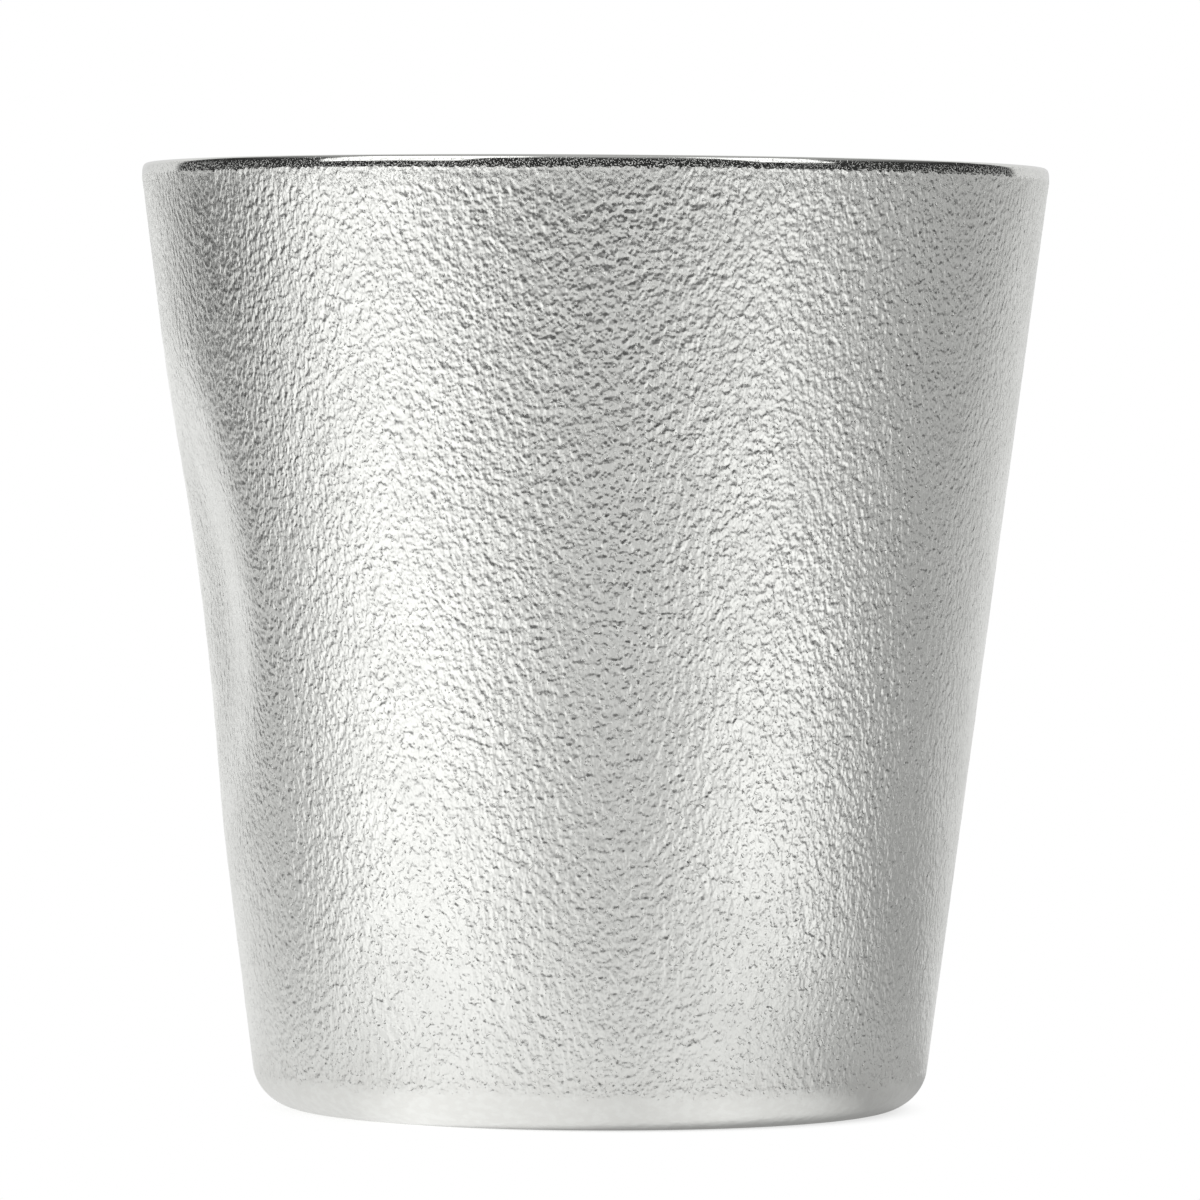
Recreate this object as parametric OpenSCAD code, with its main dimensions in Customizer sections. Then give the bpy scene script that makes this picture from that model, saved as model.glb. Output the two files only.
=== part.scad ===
// Tapered drinking tumbler cast in tin, with a polished lip and a thumb dimple in one side.
// It is one casting, divided where its finish changes. The solids meet face to face.
// The tumbler stands on Z = 0 with its axis on Z, and the dimple is on the -X side.

/* [Mouth] */
// Diameter across the lip
mouth_d = 90; // [84:0.5:96]
// Height of the upright band that is polished on the lip
lip_band_h = 1.3; // [0.9:0.1:2]
// Radius of the inner and outer edge of the lip
lip_edge_r = 0.4; // [0.2:0.05:0.7]
// Height of the rim, from the lip down to the sand-cast wall
rim_h = 3; // [2.5:0.5:8]

/* [Wall] */
// Height of the tumbler
tumbler_h = 93.5; // [88:0.5:100]
// Thickness of the wall, square to its face
wall_t = 1.8; // [1.6:0.1:2.4]

/* [Foot] */
// Diameter at which the straight side would meet the table
foot_d = 66; // [60:0.5:70]
// Radius of the round edge between the side and the table
foot_edge_r = 4.5; // [3:0.1:5.5]
// Height of the foot ring
foot_h = 8; // [8:0.5:12]
// Diameter of the floor disc, and of the hollow under it
floor_d = 50; // [40:1:50]
// Thickness of the floor
floor_t = 2.6; // [2:0.1:3.2]
// Depth of the hollow under the floor
hollow_h = 0.8; // [0.4:0.1:1.2]
// Radius of the round corner between the floor and the wall, inside
inner_edge_r = 4; // [2:0.1:4]

/* [Thumb dimple] */
// Height of the middle of the dimple above the table
dimple_z = 51; // [45:0.5:57]
// Bearing of the dimple, in degrees from +X towards +Y
dimple_bearing = 192.5; // [0:0.5:360]
// Depth of the dimple
dimple_depth = 2.4; // [1:0.1:3.4]
// Height of the dimple from end to end
dimple_h = 48; // [30:1:54]

/* [Hidden] */
$fn = 128;

// The side leans outwards from the table up to the lip band
mouth_r = mouth_d / 2;
lip_band_z = tumbler_h - lip_band_h;
side_slope = (mouth_r - foot_d / 2) / lip_band_z;
side_lean = atan(side_slope);
// The same wall measured level, from inside to outside
wall_w = wall_t / cos(side_lean);
function outer_r(z) = foot_d / 2 + side_slope * z;
function inner_r(z) = outer_r(z) - wall_w;

// The wall runs between the foot ring and the rim
wall_top_z = tumbler_h - rim_h;
wall_h = wall_top_z - foot_h;
// The floor's upper face, inside the tumbler
floor_z = hollow_h + floor_t;
// How far a cut reaches past the face that it cuts
past = 1;

// The dimple is flat from side to side and hollow from end to end, on a large radius
dimple_curve_r = (pow(dimple_h / 2, 2) + pow(dimple_depth, 2)) / (2 * dimple_depth);
dimple_reach = foot_d;

polished_tin = [0.86, 0.86, 0.85];
cast_tin = [0.76, 0.76, 0.74];
smooth_tin = [0.81, 0.81, 0.79];

// Half outline of a tapered shape with a level base and a round edge, from the axis outwards.
// base_r is the radius at which its side would meet the level of its base.
module tapered_half(base_r, base_z, edge_r, top_z) {
    centre_r = base_r + side_slope * edge_r - edge_r / cos(side_lean);
    edge_top_r = centre_r + edge_r * cos(side_lean);
    edge_top_z = base_z + edge_r * (1 - sin(side_lean));
    top_r = base_r + side_slope * (top_z - base_z);
    polygon([
        [0, base_z],
        [centre_r, base_z],
        [edge_top_r, edge_top_z],
        [top_r, top_z],
        [0, top_z]
    ]);
    intersection() {
        translate([centre_r, base_z + edge_r]) circle(edge_r);
        translate([centre_r, base_z]) square([edge_r + past, edge_top_z - base_z]);
    }
}

// The thumb's shape, pressed square into the side. grow moves its face further in.
module thumb(grow) {
    rotate([0, 0, dimple_bearing])
    translate([outer_r(dimple_z), 0, dimple_z])
    rotate([0, side_lean, 0])
    translate([dimple_curve_r - dimple_depth, 0, 0])
    rotate([90, 0, 0])
    cylinder(h = dimple_reach, r = dimple_curve_r + grow, center = true);
}

// Upright lip with both of its edges rounded, on the top of the leaning side
module rim() {
    lip_in_r = mouth_r - wall_w;
    round_z = tumbler_h - lip_edge_r;
    color(polished_tin)
    rotate_extrude()
    union() {
        polygon([
            [inner_r(wall_top_z), wall_top_z],
            [outer_r(wall_top_z), wall_top_z],
            [mouth_r, lip_band_z],
            [mouth_r, round_z],
            [mouth_r - lip_edge_r, round_z],
            [mouth_r - lip_edge_r, tumbler_h],
            [lip_in_r + lip_edge_r, tumbler_h],
            [lip_in_r + lip_edge_r, round_z],
            [lip_in_r, round_z],
            [lip_in_r, lip_band_z]
        ]);
        translate([mouth_r - lip_edge_r, round_z]) circle(lip_edge_r);
        translate([lip_in_r + lip_edge_r, round_z]) circle(lip_edge_r);
    }
}

// Sand-cast wall. The dimple keeps the wall's thickness, so it shows inside as a low swelling.
module wall() {
    color(cast_tin)
    difference() {
        translate([0, 0, foot_h])
        cylinder(h = wall_h, r1 = outer_r(foot_h), r2 = outer_r(wall_top_z));
        thumb(0);
        difference() {
            translate([0, 0, foot_h - past])
            cylinder(h = wall_h + 2 * past, r1 = inner_r(foot_h - past), r2 = inner_r(wall_top_z + past));
            thumb(wall_t);
        }
    }
}

// Round foot, open in the middle where the floor lies
module foot_ring() {
    color(smooth_tin)
    rotate_extrude()
    difference() {
        tapered_half(foot_d / 2, 0, foot_edge_r, foot_h);
        tapered_half(inner_r(floor_z), floor_z, inner_edge_r, foot_h + past);
        translate([-past, -past]) square([floor_d / 2 + past, floor_z + 2 * past]);
    }
}

// Flat floor, raised off the table by the hollow under it
module floor_disc() {
    color(smooth_tin)
    translate([0, 0, hollow_h])
    cylinder(h = floor_t, d = floor_d);
}

rim();
wall();
foot_ring();
floor_disc();
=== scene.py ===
import math

import bpy
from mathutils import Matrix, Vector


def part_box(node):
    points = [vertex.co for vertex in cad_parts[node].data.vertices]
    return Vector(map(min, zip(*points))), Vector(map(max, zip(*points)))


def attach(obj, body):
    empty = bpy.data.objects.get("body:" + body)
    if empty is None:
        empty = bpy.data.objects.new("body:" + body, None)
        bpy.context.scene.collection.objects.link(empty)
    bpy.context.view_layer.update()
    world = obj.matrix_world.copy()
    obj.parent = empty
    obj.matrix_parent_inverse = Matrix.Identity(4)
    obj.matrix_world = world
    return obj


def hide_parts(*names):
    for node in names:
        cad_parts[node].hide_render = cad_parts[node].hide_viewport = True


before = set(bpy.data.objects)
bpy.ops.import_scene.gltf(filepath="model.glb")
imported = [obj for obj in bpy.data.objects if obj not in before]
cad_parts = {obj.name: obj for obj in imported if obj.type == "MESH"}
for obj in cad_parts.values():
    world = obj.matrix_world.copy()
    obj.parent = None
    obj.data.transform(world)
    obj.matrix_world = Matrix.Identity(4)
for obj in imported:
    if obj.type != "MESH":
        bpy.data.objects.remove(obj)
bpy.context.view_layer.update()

# Floor of the cup
# A flat disc of tin, cast in one with the foot and then turned on a lathe, which leaves fine
# rings on both of its faces. It lies clear of the table and thins a little towards its middle.
mm = 0.001
floor_low, floor_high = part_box("floor_disc")
floor_r = floor_high.x
floor_dip = 0.12 * mm
floor_bend_r = 0.6 * floor_r
floor_mark_r = 0.5 * mm
floor_around = 180


def turn(name, outline, around):
    """Turns a skin of metal about the upright axis, along a list of (radius, height) points."""
    first_r, first_z = outline[0]
    bpy.ops.object.select_all(action="DESELECT")
    bpy.ops.mesh.primitive_circle_add(vertices=around, radius=first_r, location=(0, 0, first_z))
    piece = bpy.context.object
    piece.name = name
    piece.data.name = name
    bpy.ops.object.transform_apply(location=True, rotation=False, scale=False)
    bpy.ops.object.mode_set(mode="EDIT")
    for (last_r, last_z), (r, z) in zip(outline, outline[1:]):
        bpy.ops.mesh.extrude_edges_move(TRANSFORM_OT_translate={"value": (0, 0, z - last_z)})
        bpy.ops.transform.resize(value=(r / last_r, r / last_r, 1), center_override=(0, 0, z))
    bpy.ops.mesh.select_all(action="SELECT")
    bpy.ops.mesh.remove_doubles(threshold=0.001 * mm)
    bpy.ops.mesh.fill_holes(sides=0)
    bpy.ops.mesh.normals_make_consistent(inside=False)
    bpy.ops.object.mode_set(mode="OBJECT")
    return piece


def take(piece):
    """Selects one piece and nothing else."""
    bpy.ops.object.select_all(action="DESELECT")
    piece.select_set(True)
    bpy.context.view_layer.objects.active = piece


def finish_faces(piece, finishes):
    """Gives each face the first finish whose test, on the face's middle and normal, it passes."""
    for material, _ in finishes:
        piece.data.materials.append(material)
    for face in piece.data.polygons:
        face.material_index = next(
            i for i, (_, test) in enumerate(finishes) if test(face.center, face.normal)
        )
    take(piece)
    bpy.ops.object.shade_smooth_by_angle(angle=math.radians(30))


def add_node(tree, kind, sockets=None, **settings):
    """Adds a node. A socket's value is a number, a colour, or another node's output to link."""
    node = tree.nodes.new(kind)
    for key, value in settings.items():
        setattr(node, key, value)
    for key, value in (sockets or {}).items():
        if isinstance(value, bpy.types.NodeSocket):
            tree.links.new(value, node.inputs[key])
        else:
            node.inputs[key].default_value = value
    return node


tin_colour = (0.90, 0.905, 0.875, 1)


def tin(name):
    """Bare tin: a new material, its tree, its shader and the coordinates of the piece."""
    material = bpy.data.materials.new(name)
    material.use_nodes = True
    tree = material.node_tree
    shader = tree.nodes["Principled BSDF"]
    shader.inputs["Base Color"].default_value = tin_colour
    shader.inputs["Metallic"].default_value = 1
    place = add_node(tree, "ShaderNodeTexCoord").outputs["Object"]
    return material, tree, shader, place


def drift(tree, place, patches_per_m, detail, ends):
    """Value that drifts between two ends, from patch to patch."""
    patches = add_node(
        tree, "ShaderNodeTexNoise", {"Vector": place, "Scale": patches_per_m, "Detail": detail},
    )
    return add_node(
        tree, "ShaderNodeMapRange",
        {"Value": patches.outputs["Fac"], "From Min": 0.3, "From Max": 0.7,
         "To Min": ends[0], "To Max": ends[1]},
    ).outputs["Result"]


def turned(name, **marks):
    """Tin turned on a lathe to a satin finish, whose tool leaves fine marks one step apart."""
    tool_step = 0.8 * mm
    mark_depth = 0.016 * mm
    satin = (0.34, 0.40)
    material, tree, shader, place = tin(name)
    # A wave repeats every 0.314 / scale
    lathe = add_node(
        tree, "ShaderNodeTexWave",
        {"Vector": place, "Scale": 0.314 / tool_step,
         "Distortion": 0.8, "Detail": 1, "Detail Scale": 0.2},
        **marks,
    )
    bump = add_node(tree, "ShaderNodeBump", {"Height": lathe.outputs["Fac"], "Distance": mark_depth})
    tree.links.new(drift(tree, place, patches_per_m=90, detail=3, ends=satin), shader.inputs["Roughness"])
    tree.links.new(bump.outputs["Normal"], shader.inputs["Normal"])
    return material


turned_tin = turned("turned_tin", wave_type="RINGS", rings_direction="Z")
cup_floor = turn(
    "cup_floor",
    [
        (floor_mark_r, floor_high.z - floor_dip),
        (floor_bend_r, floor_high.z - 0.6 * floor_dip),
        (floor_r, floor_high.z),
        (floor_r, floor_low.z),
        (floor_bend_r, floor_low.z + 0.6 * floor_dip),
        (floor_mark_r, floor_low.z + floor_dip),
    ],
    floor_around,
)
finish_faces(cup_floor, [(turned_tin, lambda centre, normal: True)])
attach(cup_floor, "root")
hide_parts("floor_disc")

# Foot
# The round foot that the cup stands on, cast with the wall and rubbed smooth below, so that the
# grain of the sand fades out on its round edge. A flat ring underneath carries the cup.
foot_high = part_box("foot_ring")[1]
rim_low, rim_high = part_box("rim")
mouth_r = min(rim_high.x, -rim_low.x, rim_high.y, -rim_low.y)
tumbler_h = rim_high.z
lip_h = 1.3 * mm
foot_r = 33 * mm
wall_t = 1.8 * mm
side_slope = (mouth_r - foot_r) / (tumbler_h - lip_h)
side_lean = math.atan(side_slope)
wall_w = wall_t / math.cos(side_lean)
foot_edge_r = 4.5 * mm
inner_edge_r = 4 * mm
stand_edge_r = 0.35 * mm
foot_around = 540


def outer_r(z):
    """Radius of the outside of the cup at a height."""
    return foot_r + side_slope * z


def pick_edges(piece, test):
    """Opens a piece for editing with only those edges selected whose two end points pass a test."""
    take(piece)
    bpy.ops.object.mode_set(mode="EDIT")
    bpy.ops.mesh.select_mode(type="EDGE")
    bpy.ops.mesh.select_all(action="DESELECT")
    bpy.ops.object.mode_set(mode="OBJECT")
    points = piece.data.vertices
    for edge in piece.data.edges:
        edge.select = test(points[edge.vertices[0]], points[edge.vertices[1]])
    bpy.ops.object.mode_set(mode="EDIT")


def round_ring(piece, radius, height, offset, segments):
    """Rounds the ring of edges at one radius and height."""
    near = 0.02 * mm

    def on_ring(point):
        return abs(point.co.xy.length - radius) < near and abs(point.co.z - height) < near

    pick_edges(piece, lambda a, b: on_ring(a) and on_ring(b))
    bpy.ops.mesh.bevel(offset=offset, segments=segments, profile=0.5, affect="EDGES")
    bpy.ops.object.mode_set(mode="OBJECT")


def fade(tree, where, ends, first, last):
    """Runs softly from a first to a last value, between two ends."""
    return add_node(
        tree, "ShaderNodeMapRange",
        {"Value": where, "From Min": ends[0], "From Max": ends[1], "To Min": first, "To Max": last},
        interpolation_type="SMOOTHSTEP",
    ).outputs["Result"]


grain_depth = 0.185 * mm
grain_top = 0.85


def sand_grain(tree, place):
    """Height of the cast face, in parts of the grain's depth: rounded pebbles and sharper pits."""
    pebble_size = 0.58 * mm
    pit_size = 0.34 * mm
    pit_depth = 0.34
    # The pattern was drawn up out of the sand, which drags the grain a little upright
    drawn = add_node(tree, "ShaderNodeMapping", {"Vector": place, "Scale": (1, 1, 0.78)})
    pebbles = add_node(
        tree, "ShaderNodeTexNoise",
        {"Vector": drawn.outputs["Vector"], "Scale": 1 / pebble_size, "Detail": 1},
    )
    holes = add_node(tree, "ShaderNodeTexNoise", {"Vector": place, "Scale": 1 / pit_size, "Detail": 0})
    pits = fade(tree, holes.outputs["Fac"], (0.20, 0.31), -pit_depth, 0)
    return add_node(
        tree, "ShaderNodeMath", {0: pebbles.outputs["Fac"], 1: pits}, operation="ADD",
    ).outputs["Value"]


def rub_down(tree, grain, height, ends):
    """Grain that is rubbed down from one height to another, first its peaks and last its pits."""
    full_lift = 0.75
    lift = add_node(
        tree, "ShaderNodeMapRange",
        {"Value": height, "From Min": ends[0], "From Max": ends[1], "To Min": 0, "To Max": full_lift},
    ).outputs["Result"]
    lifted = add_node(tree, "ShaderNodeMath", {0: grain, 1: lift}, operation="ADD").outputs["Value"]
    return add_node(
        tree, "ShaderNodeMath", {0: lifted, 1: grain_top}, operation="MINIMUM",
    ).outputs["Value"]


def pit_shade_colour(tree, grain):
    """Colour of the cast face, darker in the pits: painted shade for the light that the pits trap."""
    pit_shade_tin = (0.80, 0.80, 0.775, 1)
    dull_and_pit_shade = fade(tree, grain, (-0.15, 0.15), 1, 0)
    return add_node(
        tree, "ShaderNodeMix", {0: dull_and_pit_shade, 6: tin_colour, 7: pit_shade_tin}, data_type="RGBA",
    ).outputs[2]


def cast_roughness(tree, place):
    """Roughness of the cast face, which changes a little from patch to patch."""
    return drift(tree, place, patches_per_m=160, detail=3, ends=(0.28, 0.36))


bored_tin = turned("bored_tin", wave_type="BANDS", bands_direction="Z")
foot_tin, tree, shader, place = tin("foot_tin")
height = add_node(tree, "ShaderNodeSeparateXYZ", {"Vector": place}).outputs["Z"]
# The foot is rubbed by hand, so the grain ends softly and not at one height all around
rub_sway = 0.7 * mm
sway = drift(tree, place, patches_per_m=70, detail=1, ends=(-rub_sway, rub_sway))
rub_height = add_node(tree, "ShaderNodeMath", {0: height, 1: sway}, operation="ADD").outputs["Value"]
grain = rub_down(tree, sand_grain(tree, place), rub_height, (4.6 * mm, 1.4 * mm))
grain_left = fade(tree, rub_height, (1.6 * mm, 5 * mm), 0, 1)
bump = add_node(
    tree, "ShaderNodeBump", {"Height": grain, "Distance": grain_depth, "Strength": grain_left},
)
# Rubbing leaves faint marks and dull patches, which set in softly below the wall
rub_marks_per_m = (1000, 1000, 1300)
rub_depth = 0.09 * mm
worn_tin = (0.86, 0.86, 0.83, 1)
rubbing = fade(tree, height, (7.5 * mm, 4 * mm), 0, 1)
rub_place = add_node(tree, "ShaderNodeMapping", {"Vector": place, "Scale": rub_marks_per_m})
rubbed = add_node(
    tree, "ShaderNodeTexNoise", {"Vector": rub_place.outputs["Vector"], "Scale": 1, "Detail": 2},
)
rub_bump = add_node(
    tree, "ShaderNodeBump",
    {"Height": rubbed.outputs["Fac"], "Distance": rub_depth, "Strength": rubbing,
     "Normal": bump.outputs["Normal"]},
)
dull_and_pit_shade = add_node(
    tree, "ShaderNodeMath",
    {0: fade(tree, rubbed.outputs["Fac"], (0.40, 0.66), 1, 0), 1: rubbing}, operation="MULTIPLY",
)
# Dull worn patches laid over the tin, whose pits carry painted shade in their colour
worn_and_pit_shade = add_node(
    tree, "ShaderNodeMix",
    {0: dull_and_pit_shade.outputs["Value"], 6: pit_shade_colour(tree, grain), 7: worn_tin}, data_type="RGBA",
)
tree.links.new(worn_and_pit_shade.outputs[2], shader.inputs["Base Color"])
tree.links.new(cast_roughness(tree, place), shader.inputs["Roughness"])
tree.links.new(rub_bump.outputs["Normal"], shader.inputs["Normal"])

foot = turn(
    "foot",
    [
        (outer_r(foot_high.z), foot_high.z),
        (foot_r, 0),
        (floor_r, 0),
        (floor_r, floor_high.z),
        (outer_r(floor_high.z) - wall_w, floor_high.z),
        (outer_r(foot_high.z) - wall_w, foot_high.z),
        (outer_r(foot_high.z), foot_high.z),
    ],
    foot_around,
)
# The side leans by the same angle at both round edges, which sets how far each one reaches
outer_reach = foot_edge_r * math.tan(math.radians(45) - side_lean / 2)
inner_reach = inner_edge_r * math.tan(math.radians(45) - side_lean / 2)
round_ring(foot, foot_r, 0, outer_reach, segments=18)
round_ring(foot, outer_r(floor_high.z) - wall_w, floor_high.z, inner_reach, segments=12)
round_ring(foot, floor_r, 0, stand_edge_r, segments=4)
stand_r = foot_r - outer_reach
finish_faces(
    foot,
    [
        (foot_tin, lambda centre, normal: normal.xy.dot(centre.xy) > 0 and centre.xy.length > stand_r),
        (bored_tin, lambda centre, normal: centre.z > floor_high.z),
        (turned_tin, lambda centre, normal: True),
    ],
)
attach(foot, "root")
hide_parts("foot_ring")

# Wall
# The tapered wall, cast in sand, so its outside keeps the grain of the mould. A thumb-sized
# dimple is pressed into the left side, and the inside is turned to a satin finish.
wall_low, wall_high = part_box("wall")
wall_h = wall_high.z - wall_low.z
wall_mid = (wall_high.z + wall_low.z) / 2
cast_around = 540
cast_cuts = 12
inside_around = 135
inside_cuts = 5
dimple_z = 50.5 * mm
dimple_bearing = math.radians(193.5)
dimple_depth = 2.6 * mm
dimple_half_w = 16.6 * mm
dimple_half_h = 28.6 * mm


def split_rows(piece, first, cuts):
    """Splits every upright edge into shorter ones, in the skin whose points start at an index."""
    def upright(a, b):
        return min(a.index, b.index) >= first and abs(a.co.z - b.co.z) > 0.001 * mm

    pick_edges(piece, upright)
    bpy.ops.mesh.subdivide(number_cuts=cuts)
    bpy.ops.object.mode_set(mode="OBJECT")


def add_taper(around, inset):
    """Adds a tapered skin between the foot and the rim, set in from the outside."""
    bpy.ops.mesh.primitive_cone_add(
        vertices=around,
        radius1=outer_r(wall_low.z) - inset,
        radius2=outer_r(wall_high.z) - inset,
        depth=wall_h,
        end_fill_type="NOTHING",
        location=(0, 0, wall_mid),
    )


bpy.ops.object.select_all(action="DESELECT")
add_taper(cast_around, 0)
wall = bpy.context.object
wall.name = "cast_wall"
wall.data.name = "cast_wall"
bpy.ops.object.transform_apply(location=True, rotation=False, scale=False)
split_rows(wall, 0, cast_cuts)
split_rows(wall, 0, cast_cuts)
cast_points = len(wall.data.vertices)
bpy.ops.object.mode_set(mode="EDIT")
bpy.ops.mesh.select_all(action="DESELECT")
add_taper(inside_around, wall_w)
bpy.ops.object.mode_set(mode="OBJECT")
split_rows(wall, cast_points, inside_cuts)
split_rows(wall, cast_points, inside_cuts)

# The press: a ball of the dimple's size, flattened to an oval, whose pull fades to its edge
bpy.ops.object.empty_add(
    location=(
        outer_r(dimple_z) * math.cos(dimple_bearing),
        outer_r(dimple_z) * math.sin(dimple_bearing),
        dimple_z,
    ),
    rotation=(0, side_lean, dimple_bearing),
)
thumb = bpy.context.object
thumb.scale = (dimple_half_w, dimple_half_w, dimple_half_h)
soft_press = bpy.data.textures.new("soft_press", "BLEND")
soft_press.progression = "SPHERICAL"
soft_press.use_color_ramp = True
soft_press.color_ramp.interpolation = "EASE"
soft_press.color_ramp.elements[0].color = (0, 0, 0, 1)
soft_press.color_ramp.elements[1].color = (1, 1, 1, 1)
take(wall)
press = wall.modifiers.new("press", "DISPLACE")
press.texture = soft_press
press.texture_coords = "OBJECT"
press.texture_coords_object = thumb
press.mid_level = 0
press.strength = -dimple_depth
bpy.ops.object.modifier_apply(modifier="press")
bpy.data.objects.remove(thumb)

# The cast face is not quite even: low swells between the finer grains of the finish
swell_size = 1.8 * mm
swell_depth = 0.06 * mm
swell_fade = 2 * mm
swells = bpy.data.textures.new("swells", "CLOUDS")
swells.noise_scale = swell_size
swells.noise_depth = 1
cast_face = wall.vertex_groups.new(name="cast_face")
for point in wall.data.vertices[:cast_points]:
    from_end = min(point.co.z - wall_low.z, wall_high.z - point.co.z)
    cast_face.add([point.index], min(1, from_end / swell_fade), "REPLACE")
uneven = wall.modifiers.new("uneven", "DISPLACE")
uneven.texture = swells
uneven.texture_coords = "LOCAL"
uneven.vertex_group = "cast_face"
uneven.strength = swell_depth
bpy.ops.object.modifier_apply(modifier="uneven")

# The inside faces inwards, and both ends are closed between the two skins
bpy.ops.object.mode_set(mode="EDIT")
bpy.ops.mesh.select_mode(type="VERT")
bpy.ops.mesh.select_all(action="DESELECT")
bpy.ops.object.mode_set(mode="OBJECT")
for point in wall.data.vertices[cast_points:]:
    point.select = True
bpy.ops.object.mode_set(mode="EDIT")
bpy.ops.mesh.flip_normals()
bpy.ops.object.mode_set(mode="OBJECT")
for end_z in (wall_low.z, wall_high.z):
    pick_edges(wall, lambda a, b: max(abs(a.co.z - end_z), abs(b.co.z - end_z)) < 0.02 * mm)
    bpy.ops.mesh.bridge_edge_loops()
    bpy.ops.object.mode_set(mode="OBJECT")

cast_tin, tree, shader, place = tin("cast_tin")
grain = sand_grain(tree, place)
bump = add_node(tree, "ShaderNodeBump", {"Height": grain, "Distance": grain_depth})
# The pits of the grain carry painted shade in their colour
tree.links.new(pit_shade_colour(tree, grain), shader.inputs["Base Color"])
tree.links.new(cast_roughness(tree, place), shader.inputs["Roughness"])
tree.links.new(bump.outputs["Normal"], shader.inputs["Normal"])
finish_faces(
    wall,
    [
        (cast_tin, lambda centre, normal: normal.xy.dot(centre.xy) > 0),
        (bored_tin, lambda centre, normal: True),
    ],
)
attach(wall, "root")
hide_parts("wall")

# Rim
# The top of the cast wall, ground and polished round to a mirror on the lip. The polish cuts
# the high spots of the grain first, so it ends in a ragged line of specks.
rim_around = 540
lip_steps = 16
lip_half_t = wall_w / 2
lip_mid_r = mouth_r - lip_half_t
lip_rise = 1.5 * mm
lip_z = tumbler_h - lip_rise
# A square-shouldered round, between an oval (2) and a box (large)
lip_power = 4


def lip_point(along):
    """Point on the lip's outline, from the outside (0) over the crest to the inside (1)."""
    across = math.cos(math.pi * along)
    up = math.sin(math.pi * along)
    reach = (abs(across) ** lip_power + abs(up) ** lip_power) ** (-1 / lip_power)
    return (lip_mid_r + lip_half_t * reach * across, lip_z + lip_rise * reach * up)


lip_outline = [lip_point(step / (2 * lip_steps)) for step in range(2 * lip_steps + 1)]
side_rows = (0, 0.5, 0.9, 0.97)
side_outline = [
    (outer_r(rim_low.z) + (lip_outline[0][0] - outer_r(rim_low.z)) * row,
     rim_low.z + (lip_z - rim_low.z) * row)
    for row in side_rows
]
rim = turn(
    "polished_rim",
    side_outline + lip_outline + [(outer_r(rim_low.z) - wall_w, rim_low.z), side_outline[0]],
    rim_around,
)
polished_tin, tree, shader, place = tin("polished_tin")
height = add_node(tree, "ShaderNodeSeparateXYZ", {"Vector": place}).outputs["Z"]
grain = rub_down(tree, sand_grain(tree, place), height, (lip_z, lip_z + 0.6 * mm))
bump = add_node(tree, "ShaderNodeBump", {"Height": grain, "Distance": grain_depth})
polished = fade(tree, grain, (grain_top - 0.06, grain_top), 0, 1)
# The cut metal is full of fine pores, which the wheel closes towards the crest
pore_size = 0.16 * mm
pore_depth = 0.035 * mm
pores = add_node(tree, "ShaderNodeTexNoise", {"Vector": place, "Scale": 1 / pore_size, "Detail": 1})
open_pores = fade(tree, height, (lip_z + 0.5 * mm, lip_z + 1.5 * mm), 1, 0)
pore_bump = add_node(
    tree, "ShaderNodeBump",
    {"Height": fade(tree, pores.outputs["Fac"], (0.33, 0.43), 0, 1), "Distance": pore_depth,
     "Strength": open_pores, "Normal": bump.outputs["Normal"]},
)
# The polishing wheel leaves fine lines around the lip
lines_per_m = (60, 60, 7000)
line_depth = 0.012 * mm
mirror = 0.07
lines_place = add_node(tree, "ShaderNodeMapping", {"Vector": place, "Scale": lines_per_m})
lines = add_node(
    tree, "ShaderNodeTexNoise", {"Vector": lines_place.outputs["Vector"], "Scale": 1, "Detail": 2},
)
wheel_bump = add_node(
    tree, "ShaderNodeBump",
    {"Height": lines.outputs["Fac"], "Distance": line_depth, "Strength": polished,
     "Normal": pore_bump.outputs["Normal"]},
)
rough = add_node(
    tree, "ShaderNodeMix", {0: polished, 2: cast_roughness(tree, place), 3: mirror}, data_type="FLOAT",
)
# The pits of the grain carry painted shade in their colour
tree.links.new(pit_shade_colour(tree, grain), shader.inputs["Base Color"])
tree.links.new(rough.outputs[0], shader.inputs["Roughness"])
tree.links.new(wheel_bump.outputs["Normal"], shader.inputs["Normal"])
finish_faces(
    rim,
    [
        (polished_tin, lambda centre, normal: centre.z > lip_z or normal.xy.dot(centre.xy) > 0),
        (bored_tin, lambda centre, normal: True),
    ],
)
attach(rim, "root")
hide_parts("rim")

# Table
# A white table under the cup. The camera sees it as plain white with a small shadow. For the metal it
# glows with painted light and shade: bright in front of each lamp and behind the cup, and dim at both
# sides.
table_size = 12
seen_glow = 0.55
seen_white = 0.90
hidden_white = 0.05
around_cup = (29 * mm, 34 * mm)
# Painted shadow of the cup under the foot's round edge, as the metal sees the table
painted_shade_rings = (28.6 * mm, 30.4 * mm)
painted_contact_shade = 0.30
painted_shade_shift = (1.6 * mm, -1.1 * mm, 0)
foot_rings = (50 * mm, 110 * mm)
far_rings = (180 * mm, 280 * mm)
end_rings = (360 * mm, 440 * mm)
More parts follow.
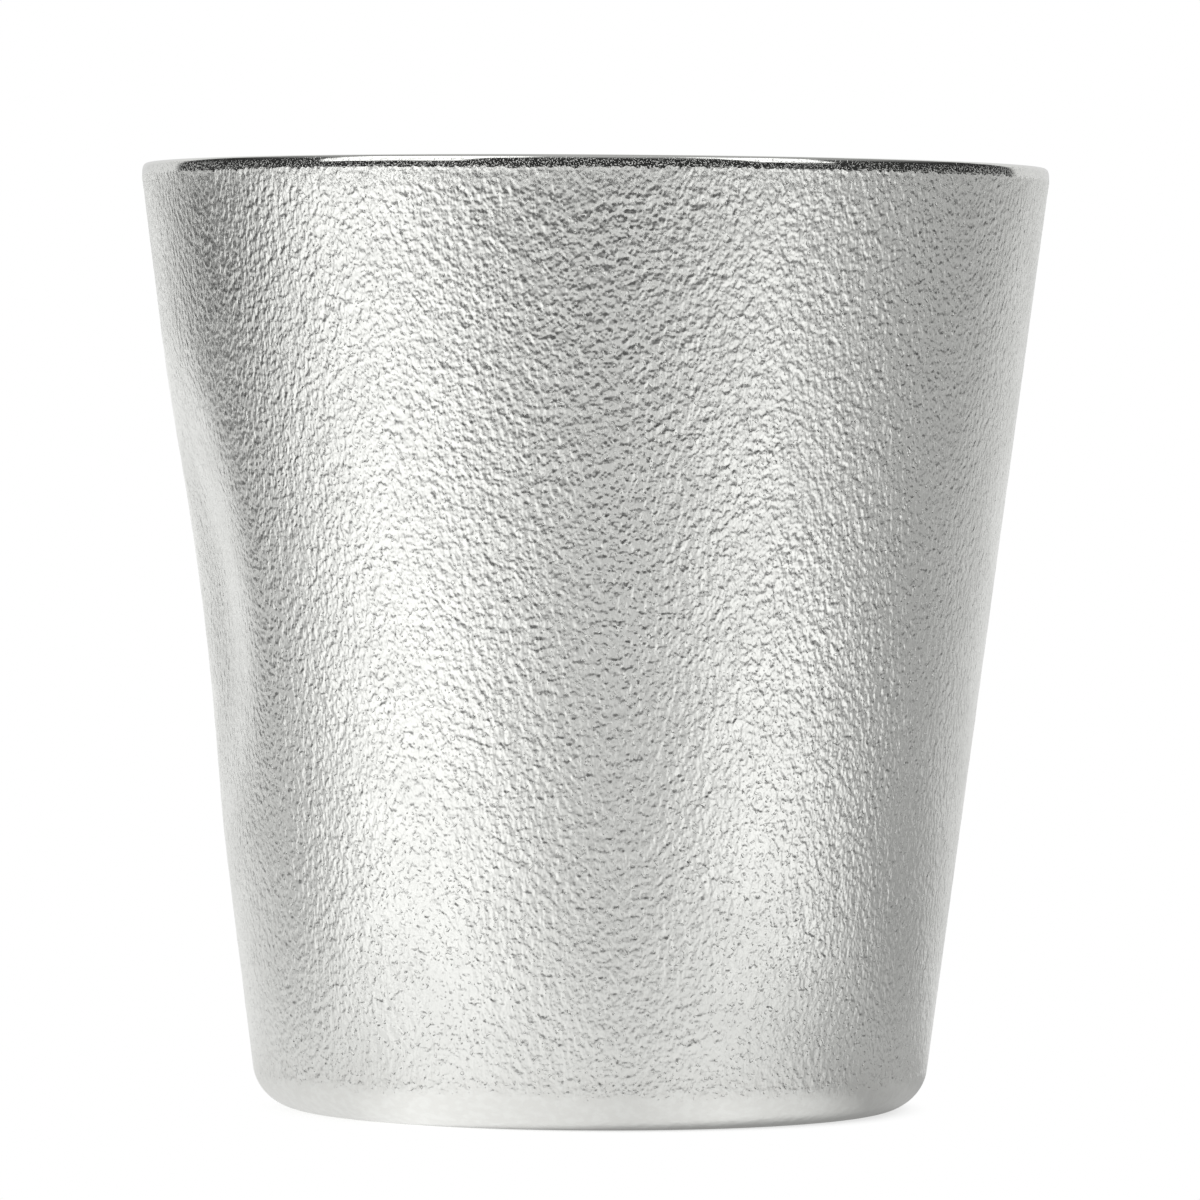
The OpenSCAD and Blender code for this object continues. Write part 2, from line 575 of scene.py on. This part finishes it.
# Painted light and shade on the table, as the metal sees it, by the bearing from the left side through
# the front, as parts of a turn
painted_foot_light = [
    (0.00, 0.74), (0.06, 0.73), (0.11, 0.77), (0.16, 0.98), (0.21, 0.86), (0.27, 0.71),
    (0.32, 0.84), (0.37, 0.68), (0.42, 0.36), (0.48, 0.45), (0.56, 0.38), (0.65, 1.10),
    (0.75, 1.08), (0.85, 1.01), (0.92, 0.80), (1.00, 0.74),
]
painted_near_light = [
    (0.00, 0.32), (0.06, 1.15), (0.11, 1.25), (0.16, 1.25), (0.21, 0.74), (0.27, 0.47),
    (0.32, 0.66), (0.37, 1.20), (0.42, 1.20), (0.48, 0.38), (0.56, 0.21), (0.65, 0.86),
    (0.75, 0.99), (0.85, 0.92), (0.92, 0.74), (1.00, 0.32),
]
painted_far_light = [
    (0.00, 0.70), (0.06, 1.25), (0.11, 1.25), (0.16, 0.95), (0.21, 0.72), (0.27, 0.84),
    (0.32, 1.05), (0.37, 1.25), (0.42, 0.55), (0.48, 0.25), (0.56, 0.50), (0.65, 0.74),
    (0.75, 0.91), (0.85, 0.80), (0.92, 0.60), (1.00, 0.70),
]
painted_room_light = [
    (0.00, 0.58), (0.03, 1.20), (0.11, 1.25), (0.16, 0.35), (0.21, 0.05), (0.27, 0.05),
    (0.32, 0.08), (0.37, 0.95), (0.42, 0.35), (0.48, 0.60), (0.56, 0.32), (0.65, 0.73),
    (0.75, 1.15), (0.86, 0.90), (0.90, 0.06), (0.96, 0.08), (1.00, 0.58),
]


def ramp(tree, where, steps):
    """Grey that runs through a list of (place, grey) steps."""
    node = add_node(tree, "ShaderNodeValToRGB", {"Fac": where})
    stops = node.color_ramp.elements
    for i, (position, grey) in enumerate(steps):
        stop = stops[i] if i < 2 else stops.new(position)
        stop.position = position
        stop.color = (grey, grey, grey, 1)
    return node.outputs["Color"]


def blend(tree, share, first, last):
    """Blends two greys by a share."""
    return add_node(tree, "ShaderNodeMix", {0: share, 2: first, 3: last}, data_type="FLOAT").outputs[0]


bpy.ops.object.select_all(action="DESELECT")
bpy.ops.mesh.primitive_plane_add(size=table_size)
table = bpy.context.object
table.name = "table"
white_table_painted_light = bpy.data.materials.new("white_table_painted_light")
white_table_painted_light.use_nodes = True
tree = white_table_painted_light.node_tree
tree.nodes.clear()
place = add_node(tree, "ShaderNodeTexCoord").outputs["Object"]
bearing = add_node(
    tree, "ShaderNodeTexGradient", {"Vector": place}, gradient_type="RADIAL",
).outputs["Fac"]
distance = add_node(tree, "ShaderNodeVectorMath", {0: place}, operation="LENGTH").outputs["Value"]
# For the metal the table glows with these painted pools of light and painted shade, by bearing and
# distance
glow = blend(
    tree, fade(tree, distance, foot_rings, 0, 1),
    ramp(tree, bearing, painted_foot_light), ramp(tree, bearing, painted_near_light),
)
glow = blend(tree, fade(tree, distance, far_rings, 0, 1), glow, ramp(tree, bearing, painted_far_light))
# Under the foot's round edge, as the metal sees it, the table glows darker with a painted shadow of the
# cup, which falls to the right
from_painted_shade = add_node(tree, "ShaderNodeVectorMath", {0: place, 1: painted_shade_shift}, operation="DISTANCE")
glow = blend(tree, fade(tree, from_painted_shade.outputs["Value"], painted_shade_rings, 0, 1), painted_contact_shade, glow)
# Past its end the table glows with a painted room for the metal: dark in front and at the left, and
# bright under each lamp and behind
glow = blend(tree, fade(tree, distance, end_rings, 0, 1), glow, ramp(tree, bearing, painted_room_light))
# Close to the foot the camera sees a table that is lit in part by the lamps, for the shadow
seen = add_node(tree, "ShaderNodeLightPath").outputs["Is Camera Ray"]
glow = blend(tree, seen, glow, fade(tree, distance, around_cup, seen_glow, 1))
white = blend(tree, seen, hidden_white, fade(tree, distance, around_cup, seen_white, 0))
shaded = add_node(tree, "ShaderNodeBsdfDiffuse", {"Color": white})
bright = add_node(tree, "ShaderNodeEmission", {"Strength": glow})
both = add_node(tree, "ShaderNodeAddShader", {0: shaded.outputs[0], 1: bright.outputs[0]})
add_node(tree, "ShaderNodeOutputMaterial", {"Surface": both.outputs[0]})
table.data.materials.append(white_table_painted_light)

# Light
# A large soft box on the left and a narrower one on the right, high in front of the cup and tilted
# down to it. The backdrop is white, the room on the camera's side is dark and the table glows with
# painted light, so the tin mirrors two bright bands with a grey one between them.


def soft_box(name, bearing, width, radiance):
    """Soft lamp that faces the cup from above, at a bearing from the camera's side."""
    reach = 1.1
    height = 0.91
    tilt = math.radians(39.5)
    level = reach * math.cos(tilt)
    bpy.ops.object.light_add(
        type="AREA",
        location=(
            level * math.sin(bearing), -level * math.cos(bearing), tumbler_h + reach * math.sin(tilt),
        ),
        rotation=(math.radians(90) - tilt, 0, bearing),
    )
    lamp = bpy.context.object
    lamp.name = name
    lamp.data.shape = "RECTANGLE"
    lamp.data.size = width
    lamp.data.size_y = height
    lamp.data.energy = math.pi * radiance * width * height
    lamp.visible_camera = False


soft_box("left_soft_box", math.radians(-54), width=0.8, radiance=1.3)
soft_box("right_soft_box", math.radians(52), width=0.43, radiance=1.3)

backdrop_white = 0.72
backdrop_edge = (0.64, 0.70)
room_dark = 0.03
ceiling_grey = 0.45
ceiling_edge = (0.5, 1.0)
world = bpy.data.worlds.new("studio")
bpy.context.scene.world = world
world.use_nodes = True
tree = world.node_tree
tree.nodes.clear()
direction = add_node(tree, "ShaderNodeTexCoord").outputs["Generated"]
axes = add_node(tree, "ShaderNodeSeparateXYZ", {"Vector": direction})
seen = add_node(tree, "ShaderNodeLightPath").outputs["Is Camera Ray"]
backdrop = fade(tree, axes.outputs["Y"], backdrop_edge, room_dark, backdrop_white)
ceiling = fade(tree, axes.outputs["Z"], ceiling_edge, 0, ceiling_grey)
studio = add_node(tree, "ShaderNodeMath", {0: backdrop, 1: ceiling}, operation="MAXIMUM")
shown = blend(tree, seen, studio.outputs["Value"], 1)
sky = add_node(tree, "ShaderNodeBackground", {"Color": (1, 1, 1, 1), "Strength": shown})
add_node(tree, "ShaderNodeOutputWorld", {"Surface": sky.outputs[0]})
bpy.context.scene.view_settings.view_transform = "Standard"

# Camera
# A long lens at the height of the upper wall, pitched a little down and turned a little about
# its own axis, as the outline of the cup in the photograph shows.
camera_place = (0.7 * mm, -886 * mm, 70.8 * mm)
camera_pitch = 0.0230
camera_roll = 0.0064
camera_lens = 267.4
bpy.ops.object.camera_add(location=camera_place)
camera = bpy.context.object
camera.rotation_mode = "ZXY"
camera.rotation_euler = (math.radians(90) - camera_pitch, 0, camera_roll)
camera.data.sensor_width = 36
camera.data.lens = camera_lens
camera.data.clip_start = 0.05
camera.data.clip_end = 50
bpy.context.scene.camera = camera
